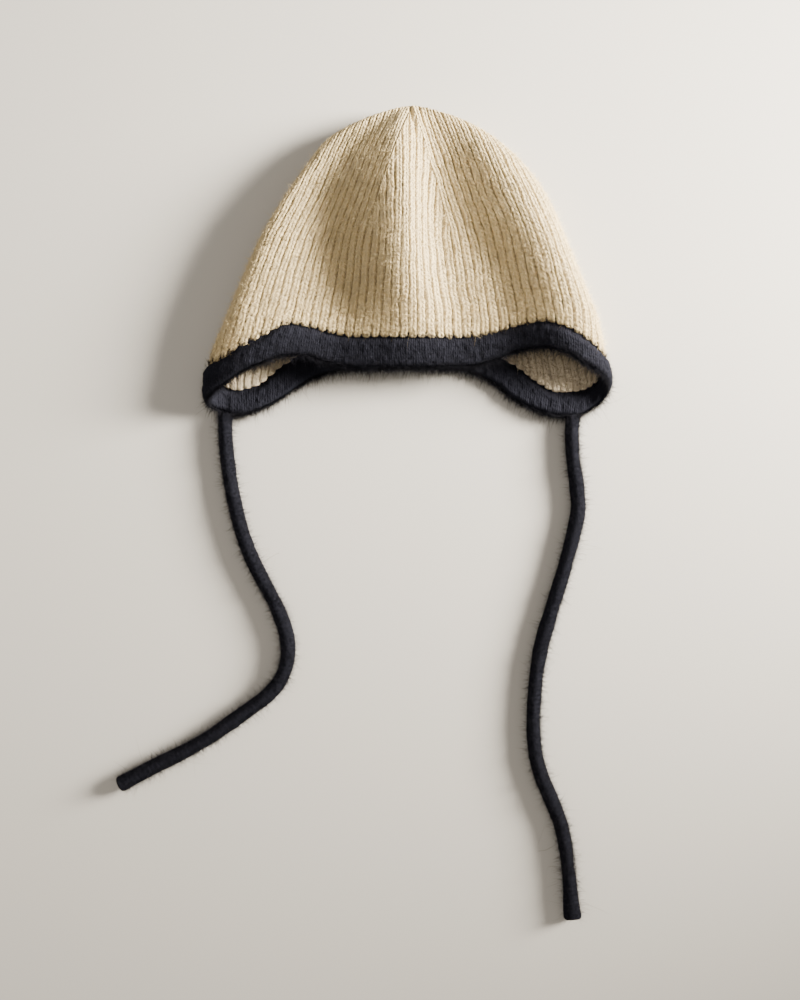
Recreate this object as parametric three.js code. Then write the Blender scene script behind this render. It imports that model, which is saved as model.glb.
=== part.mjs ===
// Earflap beanie for a baby: a rib-knit hat that lies on its back, with a knitted-on trim and two tie cords.
// Millimetres. X runs across the hat, Y from the rim to the tip, Z up from the surface that the hat lies on.
// The origin is the bottom centre of the hat without its ties.
//
// The hat is knitted in the round and lies flat, so every cut across it is one closed loop: the front layer
// on top, a soft fold at each side and the back layer on the surface. The loops are worked out from a short
// table, and the ribs run over them from the rim to the tip.

import * as THREE from "three";
import { mergeVertices } from "three/addons/utils/BufferGeometryUtils.js";

// ---- driving sizes ----

const TIP = { x: 2.4, y: 74.5, z: 9 }; // where all the ribs gather
const RIBS = 90; // ribs all the way round
const QUARTER = RIBS / 4; // ribs from the middle of a layer to a side fold
const COLUMNS_PER_RIB = 2; // one crest and one groove
const WALL = 3.2; // thickness of the rib knit
const GROOVE = 1.3; // depth of the grooves between the ribs, outside
const INNER_GROOVE_SHARE = 0.6; // of that depth, inside
const RIB_PITCH = 4.5; // at the rim
const BACK_FOOT = 11; // how far inside the side fold the back layer meets the surface
const BACK_FOOT_SHARE = 0.6; // at most, of the distance from the middle to the fold
const JOINT_GAP = 0.3; // between pieces that touch

const TRIM_PROUD = 1; // the trim is thicker than the wall, outward
const TRIM_INWARD = 0.4; // and inward
const TRIM_ROUND = 2.2; // height of the rounded lower edge

const TIE_DIAMETER = 7;
const TIE_SIDES = 10;
const TIE_STEP = 2.4; // length of one straight stretch of a tie, in diameters

// Crown decreases: the middle panel of each layer narrows towards the tip, by so much for each millimetre,
// and its ribs end one by one under the first rib of the side panel. The ribs beside the panel lean with it
// and pass over the side fold one by one.
const DECREASE_BELOW_TIP = 66;
const DECREASE_EASE = 44; // the ribs bend over so many millimetres where the decreases start
const DECREASE = { frontRight: 0.29, backRight: 0.3, backLeft: 0.3, frontLeft: 0.34 };
const TIP_CROWDING = 0.8; // pitch of the side ribs at the tip, as a share of the full pitch

// Cuts across the hat, each at its distance below the tip. X is measured from the tip's.
// left, right: the side folds, and foldZ their height; under: the underside of the back layer.
// The front layer runs over a left crest, a left dip, the middle ridge, a right dip with a flat floor and a
// right crest.
const CUT_COLUMNS = ["below", "left", "right", "foldZ", "under", "crestLX", "crestLZ", "dipLX", "dipLZ",
  "ridgeX", "ridgeZ", "dipRX", "dipRZ", "floorR", "crestRX", "crestRZ"];
const CUTS = [
  [0, 0, 0, 9, 9, 0, 9, 0, 9, 0, 9, 0, 9, 0, 0, 9],
  [1.5, 13.5, 12.5, 9, 5.4, -9, 12.6, -6, 12.8, -3, 13.4, 4, 12.6, 0, 8.5, 12.8],
  [6, 26.5, 25, 9, 1.4, -18, 14.6, -13, 15, -5, 17.8, 8, 15, 0, 17.5, 15.8],
  [16, 43, 41, 9.5, 0, -34, 15.8, -26, 17, -6, 24, 10, 18, 0, 30, 20.8],
  [29, 52.5, 55, 10, 0, -46, 18.2, -38, 17.8, -6, 28.2, 13, 19.4, 0, 39, 24.4],
  [44, 62.5, 65.5, 10, 0, -58, 19, -46, 17.2, -5, 30.4, 15, 19.6, 2, 49, 26],
  [64, 74.5, 74.5, 10, 0, -68, 19.6, -47, 16.6, -4, 30.6, 20, 19.6, 8, 59, 26.4],
  [84, 83.5, 82.5, 10, 0, -75, 20, -43, 16.4, -3, 29.4, 28, 19, 16, 68, 25.4],
  [104, 92, 90.5, 10, 0.9, -80, 20, -37, 16.4, -1, 23, 33, 17, 16, 75, 23.4],
  [120, 98.4, 94.2, 10, 1.1, -78, 19.6, -38, 15.6, -1, 17.6, 38, 15.4, 12, 74, 20.8],
  [134, 101.6, 96.8, 10, 1.6, -80, 18, -42, 15.2, 0, 16, 39, 15.2, 12, 74, 18.8],
  [150, 101.6, 95.6, 10, 2.6, -82, 17, -42, 15, 0, 15, 40, 15, 12, 76, 17],
];

// The lower edge of the trim, rib by rib from the middle of the front, right round by the back: how far it
// lies below the tip, and the width of the trim there. The two ear flaps are the long places at ribs 27 and
// 63.5.
const RIM_COLUMNS = ["rib", "edge", "width"];
const RIM = [
  [0, 126.8, 14.4], [6, 126, 14.4], [9, 122.6, 13.3], [11.5, 119.9, 12.9], [14, 119.3, 13.2],
  [16.5, 122, 13], [19, 128, 13.2], [21, 132, 12.9], [22.5, 137, 15.5], [24.5, 144.6, 12.6],
  [27, 149, 12.4], [29, 148.8, 11.8], [31.5, 145.6, 14.6], [34, 139.7, 17.2], [36, 133, 16],
  [38, 127.8, 14.6], [40, 125.4, 14], [45, 124.5, 14], [52, 125.5, 14], [55, 129, 15.4],
  [57, 134.2, 16.8], [59, 140.6, 16.2], [61.5, 146.2, 12.4], [63.5, 148.4, 12.3], [65.5, 146.4, 14],
  [67.5, 142.5, 18], [70, 135.5, 13.9], [73, 127.4, 14.1], [76.5, 121.4, 15.8], [78, 121, 14.6],
  [81, 124.1, 14.5], [84, 126.6, 15], [90, 126.8, 14.4],
];

// Middle lines of the ties on the surface, from the ear flap to the free end.
const TIE_LEFT_ROUTE = [
  [-90.4, -74.1], [-90.2, -85.5], [-89, -97.5], [-87.4, -109], [-85, -121], [-81.8, -133], [-77.3, -145],
  [-71.4, -156.8], [-65.2, -168.6], [-60.7, -180.5], [-59.2, -192.4], [-62.2, -204.2], [-69.2, -213.2],
  [-77, -219.2], [-88.5, -227.4], [-100.4, -235.4], [-112.3, -242], [-124.2, -247.8], [-142, -257.2],
];
const TIE_RIGHT_ROUTE = [
  [82, -74.7], [81.5, -86], [82.2, -98], [84, -110], [84.5, -121], [82.2, -133.8], [79, -145.8],
  [75.6, -157.8], [71.8, -169.6], [68.3, -181.5], [65.4, -193.4], [63.6, -205.4], [62.7, -217.2],
  [62.4, -229], [63.3, -241], [66.2, -253], [71.2, -264.8], [75.8, -276.6], [78.4, -288.6], [79.8, -300.4],
  [81.8, -322.8],
];

// ---- reading the tables ----

// A smooth line through a table's column that never overshoots its rows, so that what is flat stays flat.
function through(keys, values) {
  const steps = keys.slice(1).map((key, i) => key - keys[i]);
  const slopes = steps.map((step, i) => (values[i + 1] - values[i]) / step);
  const tangents = keys.map((_, i) => {
    const before = slopes[Math.max(i - 1, 0)];
    const after = slopes[Math.min(i, slopes.length - 1)];
    return before * after <= 0 ? 0 : (2 * before * after) / (before + after);
  });
  return (at) => {
    let i = 0;
    while (i < steps.length - 1 && at > keys[i + 1]) i += 1;
    const t = Math.min(Math.max((at - keys[i]) / steps[i], 0), 1);
    const rest = 1 - t;
    return rest * rest * (1 + 2 * t) * values[i] + t * t * (3 - 2 * t) * values[i + 1]
      + t * rest * steps[i] * (rest * tangents[i] - t * tangents[i + 1]);
  };
}

const column = (rows, names, name) => rows.map((row) => row[names.indexOf(name)]);

// The outline is round at the tip, so the cuts are read over the square root of the distance below it.
const cutKeys = column(CUTS, CUT_COLUMNS, "below").map(Math.sqrt);
const cutLines = Object.fromEntries(
  CUT_COLUMNS.slice(1).map((name) => [name, through(cutKeys, column(CUTS, CUT_COLUMNS, name))]),
);
const rimKeys = column(RIM, RIM_COLUMNS, "rib");
const round = (line) => (rib) => line(((rib % RIBS) + RIBS) % RIBS);
const edgeOf = round(through(rimKeys, column(RIM, RIM_COLUMNS, "edge")));
const widthOf = round(through(rimKeys, column(RIM, RIM_COLUMNS, "width")));

// ---- one cut across the hat ----

// How much of each flank its start and its end take to round off: a valley is a crease and a crest is broad.
const FLANKS = [[0.5, 0.2], [0.25, 0.25], [0.25, 0.4], [0.3, 0.3], [0.35, 0.3]];

// From 0 to 1 along a straight flank whose two ends are rounded off.
function flank(t, start, end) {
  if (t <= 0 || t >= 1) return t <= 0 ? 0 : 1;
  const whole = 1 - start / 2 - end / 2;
  if (t < start) return t ** 2 / (2 * start * whole);
  if (t > 1 - end) return 1 - (1 - t) ** 2 / (2 * end * whole);
  return (t - start / 2) / whole;
}

// A height that runs from knot to knot and is level at each of them.
const flankHeight = (knots, x) => FLANKS.reduce((height, [start, end], i) => {
  const [[x0, z0], [x1, z1]] = [knots[i], knots[i + 1]];
  return height + (z1 - z0) * flank((x - x0) / Math.max(x1 - x0, 1e-6), start, end);
}, knots[0][1]);

const LINE_STEPS = 60; // along the level part of a quarter
const FOLD_STEPS = 24; // round its side fold

// A quarter of the cut, from the middle of a layer to the side fold, as points and the length run so far.
function quarterLine(layer, side, below) {
  const cut = (name) => cutLines[name](Math.sqrt(below));
  const fold = side > 0 ? cut("right") : -cut("left");
  const [foldZ, under] = [cut("foldZ"), cut("under")];
  const points = [];
  if (layer === "front") {
    const half = cut("floorR") / 2;
    const knots = [
      [cut("crestLX"), cut("crestLZ")],
      [cut("dipLX"), cut("dipLZ")],
      [cut("ridgeX"), cut("ridgeZ")],
      [cut("dipRX") - half, cut("dipRZ")],
      [cut("dipRX") + half, cut("dipRZ")],
      [cut("crestRX"), cut("crestRZ")],
    ];
    const [crestX, crestZ] = side > 0 ? knots[knots.length - 1] : knots[0];
    for (let i = 0; i < LINE_STEPS; i += 1) {
      const x = (crestX * i) / LINE_STEPS;
      points.push([x, flankHeight(knots, x)]);
    }
    for (let i = 0; i <= FOLD_STEPS; i += 1) {
      const turn = ((Math.PI / 2) * i) / FOLD_STEPS;
      points.push([crestX + (fold - crestX) * Math.sin(turn), foldZ + (crestZ - foldZ) * Math.cos(turn)]);
    }
  } else {
    const footX = fold - side * Math.min(BACK_FOOT, Math.abs(fold) * BACK_FOOT_SHARE);
    for (let i = 0; i < LINE_STEPS; i += 1) points.push([(footX * i) / LINE_STEPS, under]);
    for (let i = 0; i <= FOLD_STEPS; i += 1) {
      const turn = ((Math.PI / 2) * i) / FOLD_STEPS;
      points.push([footX + (fold - footX) * Math.sin(turn), foldZ - (foldZ - under) * Math.cos(turn)]);
    }
  }
  const run = [0];
  for (let i = 1; i < points.length; i += 1) {
    run.push(run[i - 1] + Math.hypot(points[i][0] - points[i - 1][0], points[i][1] - points[i - 1][1]));
  }
  return { points, run, length: run[run.length - 1] };
}

function alongLine(line, length) {
  let i = 0;
  while (i < line.run.length - 2 && length > line.run[i + 1]) i += 1;
  const t = (length - line.run[i]) / Math.max(line.run[i + 1] - line.run[i], 1e-9);
  return line.points[i].map((value, axis) => value + (line.points[i + 1][axis] - value) * t);
}

function lengthToX(line, x) {
  let i = 0;
  while (i < line.run.length - 2 && Math.abs(line.points[i + 1][0]) < x) i += 1;
  const [near, far] = [Math.abs(line.points[i][0]), Math.abs(line.points[i + 1][0])];
  return line.run[i] + (line.run[i + 1] - line.run[i]) * Math.min((x - near) / Math.max(far - near, 1e-9), 1);
}

// ---- where a rib runs ----

const QUARTERS = [
  { layer: "front", side: 1, decrease: DECREASE.frontRight },
  { layer: "back", side: 1, decrease: DECREASE.backRight },
  { layer: "back", side: -1, decrease: DECREASE.backLeft },
  { layer: "front", side: -1, decrease: DECREASE.frontLeft },
].map((quarter) => {
  const line = quarterLine(quarter.layer, quarter.side, DECREASE_BELOW_TIP);
  const panel = lengthToX(line, quarter.decrease * DECREASE_BELOW_TIP);
  const pitch = line.length / QUARTER;
  return { ...quarter, pitch, panelRibs: panel / pitch };
});

// The quarter that a rib lies in, and its number counted from the middle of that layer.
function quarterOf(rib) {
  const turn = ((rib % RIBS) + RIBS) % RIBS;
  const index = Math.min(Math.floor(turn / QUARTER), 3);
  const inside = turn - index * QUARTER;
  return { quarter: QUARTERS[index], count: index % 2 === 0 ? inside : QUARTER - inside };
}

const LEAST_EASE = 0.05; // less than this would leave slivers between ribs that have all but ended

// How far a rib lies from the middle of its layer, as a length along the cut.
function ribLength(quarter, count, line, below) {
  const { decrease, pitch, panelRibs } = quarter;
  const panel = lengthToX(line, decrease * below);
  const crowding = TIP_CROWDING + (1 - TIP_CROWDING) * Math.min(below / DECREASE_BELOW_TIP, 1);
  const narrowed = count <= panelRibs
    ? Math.min(count * pitch, panel)
    : Math.min(panel + (count - panelRibs) * pitch * crowding, line.length);
  const even = (line.length * count) / QUARTER;
  const ease = THREE.MathUtils.smoothstep((below - DECREASE_BELOW_TIP) / DECREASE_EASE, -0.5, 0.5);
  return ease < LEAST_EASE ? narrowed : narrowed + (even - narrowed) * ease;
}

const PROBE = 0.05; // step for measuring a slope

// A point of the knit at a rib and a distance below the tip, moved into the wall by its depth there.
function knitPoint(rib, below, depthAt) {
  const { quarter, count } = quarterOf(rib);
  const line = quarterLine(quarter.layer, quarter.side, below);
  const length = ribLength(quarter, count, line, below);
  const share = length / line.length;
  const at = (part, drop) => {
    const near = drop === 0 ? line : quarterLine(quarter.layer, quarter.side, below + drop);
    const [x, z] = alongLine(near, near.length * part);
    return new THREE.Vector3(TIP.x + x, TIP.y - below - drop, z);
  };
  const point = at(share, 0);
  const step = Math.min(PROBE / line.length, 0.01);
  const across = at(Math.min(share + step, 1), 0).sub(at(Math.max(share - step, 0), 0));
  const along = at(share, PROBE).sub(point);
  const facing = quarter.layer === "front" ? -quarter.side : quarter.side;
  const outward = across.cross(along).normalize().multiplyScalar(facing);
  const half = 0.5;
  const wide = ribLength(quarter, Math.min(count + half, QUARTER), line, below)
    - ribLength(quarter, Math.max(count - half, 0), line, below);
  const fullness = Math.min(wide / (quarter.pitch * (count < half || count > QUARTER - half ? half : 1)), 1);
  point.addScaledVector(outward, -depthAt(fullness, point.z));
  point.z = Math.max(point.z, 0); // flattened where it rests
  return point;
}

// ---- closed knit shells ----

const COLUMNS = RIBS * COLUMNS_PER_RIB;
const grooveOf = (column) => (column % COLUMNS_PER_RIB === 0 ? 0 : GROOVE);

// Ribs stand out on both faces; the underside is pressed flat where it lies on the surface.
const outerDepth = (column, extra) => (fullness, z) => (
  extra + grooveOf(column) * fullness * Math.min(z / WALL, 1)
);
const innerDepth = (column, extra) => (fullness) => (
  WALL + extra + INNER_GROOVE_SHARE * grooveOf(column) * fullness
);

// One ring of points round the hat, moved by so much towards the rim.
const ring = (placeOf, depthOf, slideOf = () => 0) => Array.from({ length: COLUMNS }, (_, column) => {
  const rib = column / COLUMNS_PER_RIB;
  const point = knitPoint(rib, placeOf(rib), depthOf(column));
  point.y -= slideOf(rib);
  return point;
});

// Joins rings of points into one closed surface. It ends in a point at each end, or else runs back into its
// first ring.
function closedShell(rings, ends) {
  const places = [];
  const faces = [];
  const put = (point) => places.push(point) - 1;
  const rows = rings.map((points) => points.map(put));
  const next = (column) => (column + 1) % COLUMNS;
  const last = ends ? rows.length - 1 : rows.length;
  for (let row = 0; row < last; row += 1) {
    const [here, there] = [rows[row], rows[(row + 1) % rows.length]];
    here.forEach((a, column) => {
      const [b, c, d] = [here[next(column)], there[next(column)], there[column]];
      const shortAC = places[a].distanceTo(places[c]) < places[b].distanceTo(places[d]);
      faces.push(...(shortAC ? [a, c, b, a, d, c] : [a, d, b, b, d, c]));
    });
  }
  if (ends) {
    const [first, final] = ends.map(put);
    const end = rows[rows.length - 1];
    rows[0].forEach((a, column) => faces.push(first, a, rows[0][next(column)]));
    end.forEach((a, column) => faces.push(final, end[next(column)], a));
  }
  const geometry = new THREE.BufferGeometry();
  geometry.setAttribute("position", new THREE.Float32BufferAttribute(places.flatMap((p) => p.toArray()), 3));
  geometry.setIndex(faces);
  return withoutSlivers(mergeVertices(geometry, 1e-3));
}

// Ribs that have ended share their points with a neighbour, so their faces have no area and are dropped.
function withoutSlivers(geometry) {
  const index = geometry.getIndex().array;
  const kept = [];
  for (let i = 0; i < index.length; i += 3) {
    const [a, b, c] = [index[i], index[i + 1], index[i + 2]];
    if (a !== b && b !== c && c !== a) kept.push(a, b, c);
  }
  geometry.setIndex(kept);
  geometry.computeVertexNormals();
  return geometry;
}

// ---- crown ----

const CROWN_ROWS = 10;
const CROWN_CROWDING = 1.7; // rows lie closer towards the tip
const INNER_ROWS = 7; // the inner rows stop short of the tip
const INNER_TIP_DROP = 4.6;

const joinOf = (rib) => edgeOf(rib) - widthOf(rib);
const crownPlace = (row) => (rib) => joinOf(rib) * (1 - row / CROWN_ROWS) ** CROWN_CROWDING;

function crownGeometry() {
  const outside = (c) => outerDepth(c, 0);
  const inside = (c) => innerDepth(c, 0);
  const outer = [];
  const inner = [];
  for (let row = CROWN_ROWS - 1; row >= 0; row -= 1) outer.push(ring(crownPlace(row), outside));
  for (let row = 0; row <= INNER_ROWS; row += 1) inner.push(ring(crownPlace(row), inside));
  const tip = new THREE.Vector3(TIP.x, TIP.y, TIP.z);
  const innerTip = new THREE.Vector3(TIP.x, TIP.y - INNER_TIP_DROP, TIP.z);
  return closedShell([...outer, ...inner], [tip, innerTip]);
}

// ---- trim ----

// The joint stays open where the trim runs steeply round a side fold.
const jointSlide = (rib) => JOINT_GAP * (1 + ((joinOf(rib + 0.5) - joinOf(rib - 0.5)) / RIB_PITCH) ** 2);

function trimGeometry() {
  const low = (rib) => edgeOf(rib) - TRIM_ROUND;
  const middle = (rib) => (joinOf(rib) + low(rib)) / 2;
  const outside = (c) => outerDepth(c, -TRIM_PROUD);
  const inside = (c) => innerDepth(c, TRIM_INWARD);
  const core = () => () => (WALL + TRIM_INWARD - TRIM_PROUD) / 2;
  const rings = [
    [joinOf, outside, jointSlide],
    [middle, outside],
    [low, outside],
    [edgeOf, core],
    [low, inside],
    [middle, inside],
    [joinOf, inside, jointSlide],
  ].map(([place, depth, slide]) => ring(place, depth, slide));
  return closedShell(rings, null);
}

// ---- ties ----

function tieGeometry(route) {
  const radius = TIE_DIAMETER / 2;
  const path = new THREE.CatmullRomCurve3(route.map(([x, y]) => new THREE.Vector3(x, y, radius)));
  const section = new THREE.Shape(
    Array.from({ length: TIE_SIDES }, (_, i) => {
      const turn = (2 * Math.PI * (i + 0.5)) / TIE_SIDES;
      return new THREE.Vector2(radius * Math.cos(turn), radius * Math.sin(turn));
    }),
  );
  const steps = Math.round(path.getLength() / (TIE_DIAMETER * TIE_STEP));
  return new THREE.ExtrudeGeometry(section, { steps, extrudePath: path, bevelEnabled: false });
}

// ---- the hat ----

const creamWool = new THREE.MeshStandardMaterial({ color: 0xe0cfae, roughness: 0.95, metalness: 0 });
const blackWool = new THREE.MeshStandardMaterial({ color: 0x26262b, roughness: 0.95, metalness: 0 });

const group = new THREE.Group();
const add = (name, geometry, material) => {
  const mesh = new THREE.Mesh(geometry, material.clone());
  mesh.name = name;
  group.add(mesh);
};

add("crown", crownGeometry(), creamWool);
add("brim_band", trimGeometry(), blackWool);
add("tie_left", tieGeometry(TIE_LEFT_ROUTE), blackWool);
add("tie_right", tieGeometry(TIE_RIGHT_ROUTE), blackWool);

export default group;
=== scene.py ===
# %% [markdown]
# # A knitted earflap beanie, lying flat
#
# The real hat is knitted in wool: a cream crown in one-by-one rib, a black knitted edge with an ear flap at
# each side, and a black knitted cord at each flap. This lesson dresses a plain measured model of it. The
# frame holds the true sizes in metres, with the hat on the plane z = 0, and every piece that is made here
# goes where the frame says.

# %% Load the frame
import math

import bmesh
import bpy
import numpy as np
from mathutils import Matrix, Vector


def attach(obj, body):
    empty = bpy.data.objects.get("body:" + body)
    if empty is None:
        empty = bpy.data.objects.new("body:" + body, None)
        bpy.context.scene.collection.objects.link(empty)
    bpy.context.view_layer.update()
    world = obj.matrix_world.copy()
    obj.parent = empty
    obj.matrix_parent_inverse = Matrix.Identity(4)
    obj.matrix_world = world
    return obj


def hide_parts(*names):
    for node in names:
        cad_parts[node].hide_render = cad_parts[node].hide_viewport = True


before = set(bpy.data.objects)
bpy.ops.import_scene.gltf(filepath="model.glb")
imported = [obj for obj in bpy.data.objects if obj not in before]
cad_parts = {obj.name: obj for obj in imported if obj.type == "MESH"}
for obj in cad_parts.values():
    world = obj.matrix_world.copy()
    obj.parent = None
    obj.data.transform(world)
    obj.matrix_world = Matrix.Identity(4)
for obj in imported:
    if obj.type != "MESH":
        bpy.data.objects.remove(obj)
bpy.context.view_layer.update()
MM = 0.001  # the tables below are in millimetres, as a knitter measures

# %% [markdown]
# ## The camera
#
# Clothes are often shown as a flat lay: the garment on a pale floor and the camera straight above it. A
# camera that looks straight down needs no rotation in Blender, because an unturned camera looks along -Z
# with +Y up. It hangs low, as a hand-held camera does, so what lies higher looks a little larger.

# %% Hang the camera over the floor
CAMERA_PLACE = (-3.75 * MM, -116.5 * MM, 444 * MM)
FOCAL_LENGTH = 32  # for a frame 36 high, both in millimetres
FRAME_HEIGHT = 36

camera = bpy.data.objects.new("camera", bpy.data.cameras.new("camera"))
camera.data.sensor_fit = "VERTICAL"
camera.data.sensor_height = FRAME_HEIGHT
camera.data.lens = FOCAL_LENGTH
camera.data.clip_start = 0.01
camera.location = CAMERA_PLACE
bpy.context.scene.collection.objects.link(camera)
bpy.context.scene.camera = camera
print("camera height:", CAMERA_PLACE[2], "m")

# %% [markdown]
# ## Grids into meshes
#
# Knitted fabric is a grid: ribs one way and rows of stitches the other. Every piece here is first a numpy
# array of points in rows and columns. Joining the neighbours gives quads, and the knitter's own counts, so
# many ribs along and so many rows up, make the UV map. The stitch pattern of the materials is drawn in
# those counts, so it follows every bend of the fabric.

# %% Turn an array of points into a smooth mesh
def mesh_object(name, points, faces, uv=None):
    """Points is n x 3 in metres, faces is m x corners, and uv holds a pair for every corner."""
    mesh = bpy.data.meshes.new(name)
    mesh.vertices.add(len(points))
    mesh.vertices.foreach_set("co", points.reshape(-1))
    mesh.loops.add(faces.size)
    mesh.loops.foreach_set("vertex_index", faces.reshape(-1))
    mesh.polygons.add(len(faces))
    mesh.polygons.foreach_set("loop_start", np.arange(0, faces.size, faces.shape[1]))
    mesh.update(calc_edges=True)
    if uv is not None:
        mesh.uv_layers.new(name="knit").data.foreach_set("uv", uv.reshape(-1))
        weld(mesh)
    mesh.shade_smooth()
    piece = bpy.data.objects.new(name, mesh)
    bpy.context.scene.collection.objects.link(piece)
    print(f"{name}: {sum(len(face.vertices) - 2 for face in mesh.polygons)} triangles")
    return piece


def weld(mesh, distance=1e-6):
    """Columns of a rib that has ended share one place; they become one and their empty faces go."""
    body = bmesh.new()
    body.from_mesh(mesh)
    bmesh.ops.remove_doubles(body, verts=body.verts, dist=distance)
    body.to_mesh(mesh)
    body.free()


def grid_object(name, points, uv, around=False):
    """Points is rows x columns x 3 in metres; around closes the columns into a ring."""
    rows, columns = points.shape[:2]
    index = np.arange(rows * columns).reshape(rows, columns)
    right = np.roll(index, -1, axis=1) if around else index[:, 1:]
    left = index if around else index[:, :-1]
    faces = np.stack([left[:-1], left[1:], right[1:], right[:-1]], axis=-1).reshape(-1, 4)
    corners = uv.reshape(-1, 2)[faces]
    if around:
        width = uv[0, -1, 0] - uv[0, 0, 0] + (uv[0, 1, 0] - uv[0, 0, 0])
        jumped = corners[:, :, 0].max(axis=1) - corners[:, :, 0].min(axis=1) > width / 2
        corners[jumped, 2:, 0] += width
    return mesh_object(name, points.reshape(-1, 3), faces, corners)


# %% Soft random numbers
def smooth_step(t):
    t = np.clip(t, 0, 1)
    return t * t * (3 - 2 * t)


def soft_noise(across, along, seed, wrap=None):
    """Smooth random numbers from -1 to 1, one unit apart, that wrap round after so many units."""
    lattice = np.random.default_rng(seed).uniform(-1, 1, (512, 512))
    places = []
    for value, turn in ((across, wrap), (along, None)):
        low = np.floor(value)
        ends = [low.astype(int), low.astype(int) + 1]
        places.append(([np.mod(end, turn or 512) for end in ends], smooth_step(value - low)))
    (cells_a, share_a), (cells_b, share_b) = places
    near = lattice[cells_a[0], cells_b[0]] * (1 - share_a) + lattice[cells_a[1], cells_b[0]] * share_a
    far = lattice[cells_a[0], cells_b[1]] * (1 - share_a) + lattice[cells_a[1], cells_b[1]] * share_a
    return near * (1 - share_b) + far * share_b


print("soft noise at rib 3, row 2.5:", round(float(soft_noise(3.0, 2.5, 1)), 3))

# %% [markdown]
# ## One knit stitch
#
# Seen from the front, a knit stitch is a V of two yarn legs. A column of them looks like a plait. The legs
# could be modelled as tubes of yarn, but there are thousands of them, so a height over the grid is enough:
# it is high along each leg, low between the legs and low where one stitch slips into the next.

# %% The height of a column of stitches
LEG_SLANT = 1.5  # rows that a leg climbs from the middle of its column to the edge


def stitch_height(across, along):
    """0 to 1. Across is 0 in the middle of the column and 0.5 at its edge; along counts rows."""
    side = np.minimum(np.abs(across), 0.5)
    leg = 0.35 + 0.65 * np.sin(2 * np.pi * side)
    slip = np.abs(np.sin(np.pi * (along + LEG_SLANT * side))) ** 0.7
    return leg * (0.4 + 0.6 * slip)


print("height on a leg:", round(float(stitch_height(0.25, 0.1)), 2))

# %% [markdown]
# ## Fuzz
#
# Wool is never clean at its edge: loose fibres stand off the yarn all over it, and they are what makes a
# knitted outline soft. Blender's hair could grow them, but hair stays behind when a model is exported, so
# each fibre is a thin three-sided spike of its own. Short ones are straight, and long strays have joints
# that let them curl.

# %% Fibres as tapered spikes
LOWEST_Z = 0.02  # mm over the floor
ROOT_DEPTH = 0.3  # mm that a short fibre starts under the surface


def fibres(roots, ways, lengths, thickness, joints, bend, seed):
    """Points and triangles of many fibres; roots and lengths in mm, and bend is how much they curl."""
    rng = np.random.default_rng(seed)
    count = len(roots)
    steps = np.linspace(0, 1, joints + 1)
    curl = rng.normal(0, bend, (count, 1, 3)) * (steps ** 2)[None, :, None]
    curl += rng.normal(0, bend / 2, (count, 1, 3)) * np.sin(steps * 4)[None, :, None]
    line = roots[:, None] + lengths[:, None, None] * (ways[:, None] * steps[None, :, None] + curl)
    side = np.cross(ways, rng.normal(0, 1, (count, 3)))
    side /= np.linalg.norm(side, axis=1)[:, None]
    turn = 2 * np.pi * np.arange(3) / 3
    ring = side[:, None] * np.cos(turn)[:, None] + np.cross(ways, side)[:, None] * np.sin(turn)[:, None]
    taper = thickness / 2 * (1 - 0.7 * steps[:-1])
    rings = line[:, :-1, None] + taper[None, :, None, None] * ring[:, None]
    points = np.concatenate([rings.reshape(count, -1, 3), line[:, -1:]], axis=1)
    points[..., 2] = np.maximum(points[..., 2], LOWEST_Z)
    one = []
    for joint in range(joints):
        for k in range(3):
            a, b = 3 * joint + k, 3 * joint + (k + 1) % 3
            if joint == joints - 1:
                one.append((a, b, 3 * joints))
            else:
                one += [(a, b, b + 3), (a, b + 3, a + 3)]
    faces = np.array(one)[None] + (np.arange(count) * (3 * joints + 1))[:, None, None]
    return points.reshape(-1, 3), faces.reshape(-1, 3)


def fuzz_object(name, groups):
    """Joins groups of fibres into one piece."""
    shifts = np.cumsum([0] + [len(points) for points, _ in groups[:-1]])
    points = np.vstack([points for points, _ in groups]) * MM
    faces = np.vstack([faces + shift for (_, faces), shift in zip(groups, shifts)])
    fuzz = mesh_object(name, points, faces)
    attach(fuzz, "root")
    return fuzz


def standing_off(normals, spread, rng):
    """Directions near the normals: spread 0 is straight out, and 1 leans to every side."""
    ways = normals + rng.normal(0, spread, normals.shape)
    return ways / np.linalg.norm(ways, axis=1)[:, None]


# %% [markdown]
# ## The ties
#
# Each tie is a round knitted cord, 7 mm thick, worked on from the tip of an ear flap. It lies loose on the
# floor, so its route is a list of places on the floor and its middle stays one radius up. A curve with a
# bevel would be quick, but a tube that is built ring by ring can carry real stitches, spread at its cut
# end and flatten where it grows out of the edge.

# %% Routes of the ties
TIE_RADIUS = 3.5
TIE_LEFT_ROUTE = [
    (-90.4, -74.1), (-90.2, -85.5), (-89, -97.5), (-87.4, -109), (-85, -121), (-81.8, -133), (-77.3, -145),
    (-71.4, -156.8), (-65.2, -168.6), (-60.7, -180.5), (-59.2, -192.4), (-62.2, -204.2), (-69.2, -213.2),
    (-77, -219.2), (-88.5, -227.4), (-100.4, -235.4), (-112.3, -242), (-124.2, -247.8), (-142, -257.2),
]
TIE_RIGHT_ROUTE = [
    (82, -74.7), (81.5, -86), (82.2, -98), (84, -110), (84.5, -121), (82.2, -133.8), (79, -145.8),
    (75.6, -157.8), (71.8, -169.6), (68.3, -181.5), (65.4, -193.4), (63.6, -205.4), (62.7, -217.2),
    (62.4, -229), (63.3, -241), (66.2, -253), (71.2, -264.8), (75.8, -276.6), (78.4, -288.6), (79.8, -300.4),
    (81.8, -322.8),
]


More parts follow.
